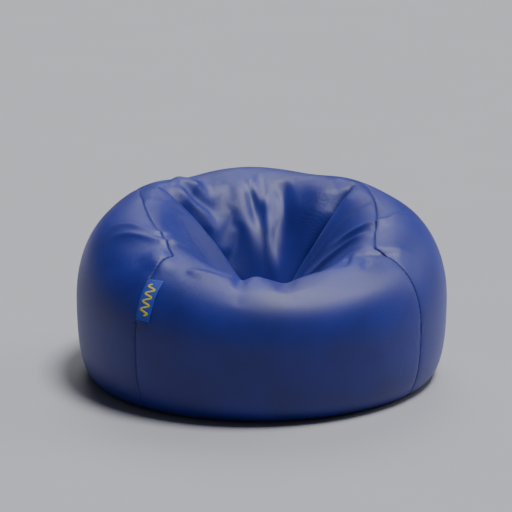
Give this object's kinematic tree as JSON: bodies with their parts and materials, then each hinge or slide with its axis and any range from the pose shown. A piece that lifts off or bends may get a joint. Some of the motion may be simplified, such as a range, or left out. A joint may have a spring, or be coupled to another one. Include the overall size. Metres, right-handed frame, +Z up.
{
  "type": "bean bag chair",
  "caption": "Low round bean bag chair with a deep seat hollow, raised arms and backrest, side seams, a folded tab on a front seam, and a zipped cover over a zipped liner of beads.",
  "frame": {"origin": "on the floor, under the middle of the bag's footprint", "axes": "+Z up; the front, where the legs go over the low rim, faces -Y; +X is the right arm as seen from the front, so the tab is on the -X side"},
  "size_m": [0.9976, 0.9467, 0.4757],
  "materials": {
    "cover_cloth": "satin",
    "seam_thread": "matte",
    "zip_tape": "matte",
    "zip_coil": "satin",
    "zip_metal": "satin",
    "tab_cloth": "matte",
    "tab_thread": "satin",
    "liner_cloth": "matte",
    "liner_coil": "satin",
    "beads": "matte"
  },
  "bodies": {
    "bag": {"left_side_panel": "cover_cloth", "right_side_panel": "cover_cloth", "centre_panel": "cover_cloth", "base_front_panel": "cover_cloth", "base_rear_panel": "cover_cloth", "left_seam_thread": "seam_thread", "right_seam_thread": "seam_thread", "base_seam_thread": "seam_thread", "cover_zip_front_tape": "zip_tape", "cover_zip_rear_tape": "zip_tape", "cover_zip_front_coil": "zip_coil", "cover_zip_rear_coil": "zip_coil", "cover_zip_end_stops": "zip_metal", "cover_zip_stitching": "seam_thread", "care_label": "liner_cloth", "liner_left_panel": "liner_cloth", "liner_right_panel": "liner_cloth", "liner_centre_panel": "liner_cloth", "liner_base_front_panel": "liner_cloth", "liner_base_rear_panel": "liner_cloth", "liner_left_seam_thread": "liner_cloth", "liner_right_seam_thread": "liner_cloth", "liner_base_seam_thread": "liner_cloth", "liner_zip_front_tape": "liner_cloth", "liner_zip_rear_tape": "liner_cloth", "liner_zip_front_coil": "liner_coil", "liner_zip_rear_coil": "liner_coil", "liner_zip_end_stops": "zip_metal", "bead_fill": "beads"},
    "cover_slider": {"cover_zip_slider": "zip_metal"},
    "liner_slider": {"liner_zip_slider": "zip_metal"},
    "tab": {"tab_label": "tab_cloth", "tab_wave": "tab_thread"}
  },
  "joints": [
    {"name": "cover_zip_slide", "type": "slide", "parent": "bag", "child": "cover_slider", "axis": [-1, 0, 0], "range_m": [0, 0.54]},
    {"name": "liner_zip_slide", "type": "slide", "parent": "bag", "child": "liner_slider", "axis": [-1, 0, 0], "range_m": [0, 0.42]},
    {"name": "tab_flap", "type": "hinge", "parent": "bag", "child": "tab", "pos_m": [-0.34937, -0.31178, 0.30453], "axis": [-0.3416, -0.2725, -0.8995], "range_deg": [0, 70], "stiffness_Nm_per_rad": 0.002}
  ]
}
